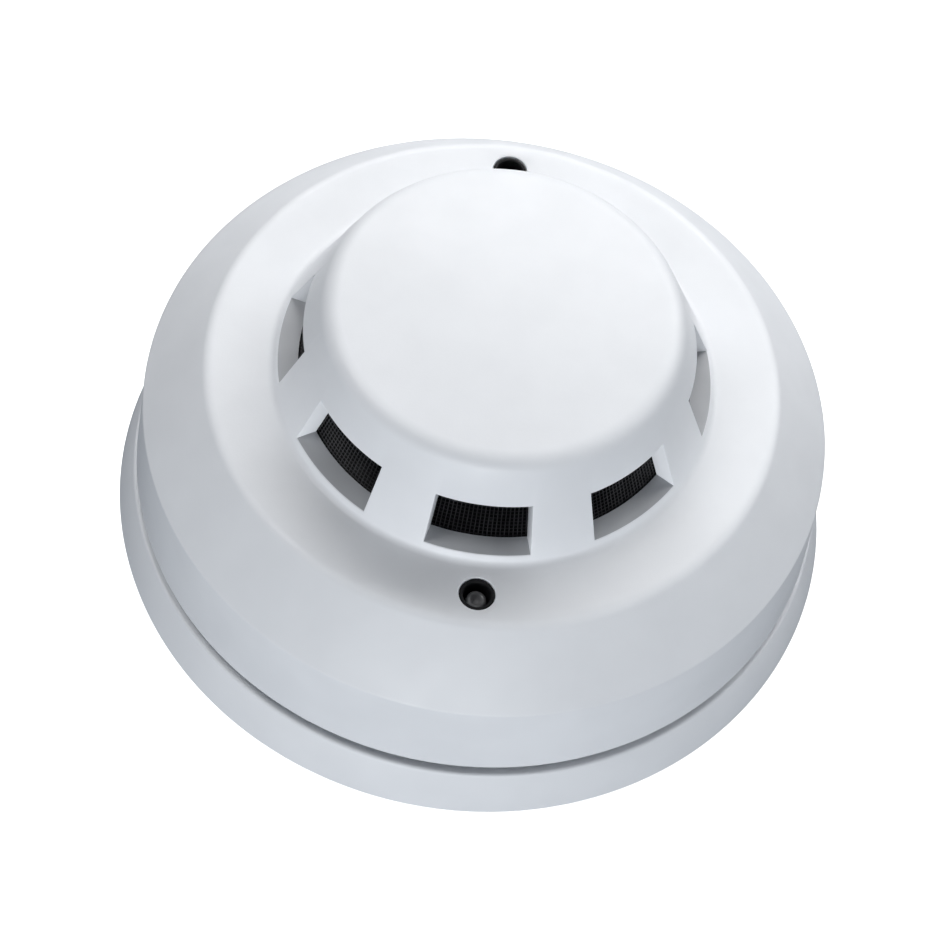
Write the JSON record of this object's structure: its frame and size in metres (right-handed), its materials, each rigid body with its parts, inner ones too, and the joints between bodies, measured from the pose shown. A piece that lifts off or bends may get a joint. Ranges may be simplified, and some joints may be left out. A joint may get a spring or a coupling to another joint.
{
  "type": "heat detector",
  "caption": "Round white ceiling heat detector: a slotted dome head with indicator lamps that twists off a low mounting base with screw terminals.",
  "frame": {"origin": "centre of the mounting base's back face", "axes": "+Z out of the back face through the dome, away from the ceiling; the two indicator lamps lie on the Y axis, and the two fixing slots on the X axis"},
  "size_m": [0.106, 0.106, 0.0507],
  "materials": {
    "white_shell": "smooth satin moulding",
    "white_moulding": "matt moulding",
    "black_moulding": "matt moulding",
    "screen_mesh": "black coated wire mesh",
    "circuit_laminate": "solder mask over laminate",
    "contact_strip": "sheared and formed strip",
    "nickel_plate": "nickel plated",
    "zinc_screw": "bright zinc plated",
    "lamp_epoxy": "clear tinted epoxy",
    "component_moulding": "moulded epoxy package",
    "capacitor_sleeve": "shrink sleeve",
    "resistor_lacquer": "lacquered body",
    "bead_coating": "dipped epoxy bead"
  },
  "bodies": {
    "base": {"mounting_base": "white_shell", "terminal_contact_1": "contact_strip", "terminal_contact_2": "contact_strip", "terminal_contact_3": "contact_strip", "terminal_contact_4": "contact_strip"},
    "terminal_clamp_1": {"terminal_washer_1": "nickel_plate"},
    "clamp_screw_1": {"terminal_screw_1": "zinc_screw"},
    "terminal_clamp_2": {"terminal_washer_2": "nickel_plate"},
    "clamp_screw_2": {"terminal_screw_2": "zinc_screw"},
    "terminal_clamp_3": {"terminal_washer_3": "nickel_plate"},
    "clamp_screw_3": {"terminal_screw_3": "zinc_screw"},
    "terminal_clamp_4": {"terminal_washer_4": "nickel_plate"},
    "clamp_screw_4": {"terminal_screw_4": "zinc_screw"},
    "head": {"top_cover": "white_shell", "rear_cover": "white_moulding", "insect_screen": "screen_mesh", "sensor_holder": "black_moulding", "circuit_board": "circuit_laminate", "controller_chip": "component_moulding", "bridge_rectifier": "component_moulding", "switching_transistor": "component_moulding", "surge_suppressor": "component_moulding", "smoothing_capacitor": "capacitor_sleeve", "sensing_thermistor": "bead_coating", "reference_thermistor": "bead_coating", "contact_blade_1": "nickel_plate", "contact_rivet_1": "nickel_plate", "resistor_1": "resistor_lacquer", "contact_blade_2": "nickel_plate", "contact_rivet_2": "nickel_plate", "resistor_2": "resistor_lacquer", "contact_blade_3": "nickel_plate", "contact_rivet_3": "nickel_plate", "resistor_3": "resistor_lacquer", "contact_blade_4": "nickel_plate", "contact_rivet_4": "nickel_plate", "resistor_4": "resistor_lacquer", "indicator_lamp_1": "lamp_epoxy", "lamp_holder_1": "black_moulding", "board_screw_1": "zinc_screw", "indicator_lamp_2": "lamp_epoxy", "lamp_holder_2": "black_moulding", "board_screw_2": "zinc_screw", "housing_screw_1": "zinc_screw", "housing_screw_2": "zinc_screw", "housing_screw_3": "zinc_screw"}
  },
  "joints": [
    {"name": "head_twist", "type": "hinge", "parent": "base", "child": "head", "pos_m": [0, 0, 0], "axis": [0, 0, 1], "range_deg": [0, 18]},
    {"name": "terminal_clamp_lift_1", "type": "slide", "parent": "base", "child": "terminal_clamp_1", "axis": [0, 0, 1], "range_m": [0, 0.002]},
    {"name": "terminal_screw_turn_1", "type": "hinge", "parent": "terminal_clamp_1", "child": "clamp_screw_1", "pos_m": [0.02799, 0.01749, 0.006], "axis": [0, 0, 1], "range_deg": [0, 1029]},
    {"name": "terminal_clamp_lift_2", "type": "slide", "parent": "base", "child": "terminal_clamp_2", "axis": [0, 0, 1], "range_m": [0, 0.002]},
    {"name": "terminal_screw_turn_2", "type": "hinge", "parent": "terminal_clamp_2", "child": "clamp_screw_2", "pos_m": [-0.01749, 0.02799, 0.006], "axis": [0, 0, 1], "range_deg": [0, 1029]},
    {"name": "terminal_clamp_lift_3", "type": "slide", "parent": "base", "child": "terminal_clamp_3", "axis": [0, 0, 1], "range_m": [0, 0.002]},
    {"name": "terminal_screw_turn_3", "type": "hinge", "parent": "terminal_clamp_3", "child": "clamp_screw_3", "pos_m": [-0.02799, -0.01749, 0.006], "axis": [0, 0, 1], "range_deg": [0, 1029]},
    {"name": "terminal_clamp_lift_4", "type": "slide", "parent": "base", "child": "terminal_clamp_4", "axis": [0, 0, 1], "range_m": [0, 0.002]},
    {"name": "terminal_screw_turn_4", "type": "hinge", "parent": "terminal_clamp_4", "child": "clamp_screw_4", "pos_m": [0.01749, -0.02799, 0.006], "axis": [0, 0, 1], "range_deg": [0, 1029]}
  ],
  "couplings": [
    {"joint": "terminal_screw_turn_1", "follows": "terminal_clamp_lift_1", "rad_per_m": 8976},
    {"joint": "terminal_screw_turn_2", "follows": "terminal_clamp_lift_2", "rad_per_m": 8976},
    {"joint": "terminal_screw_turn_3", "follows": "terminal_clamp_lift_3", "rad_per_m": 8976},
    {"joint": "terminal_screw_turn_4", "follows": "terminal_clamp_lift_4", "rad_per_m": 8976}
  ]
}
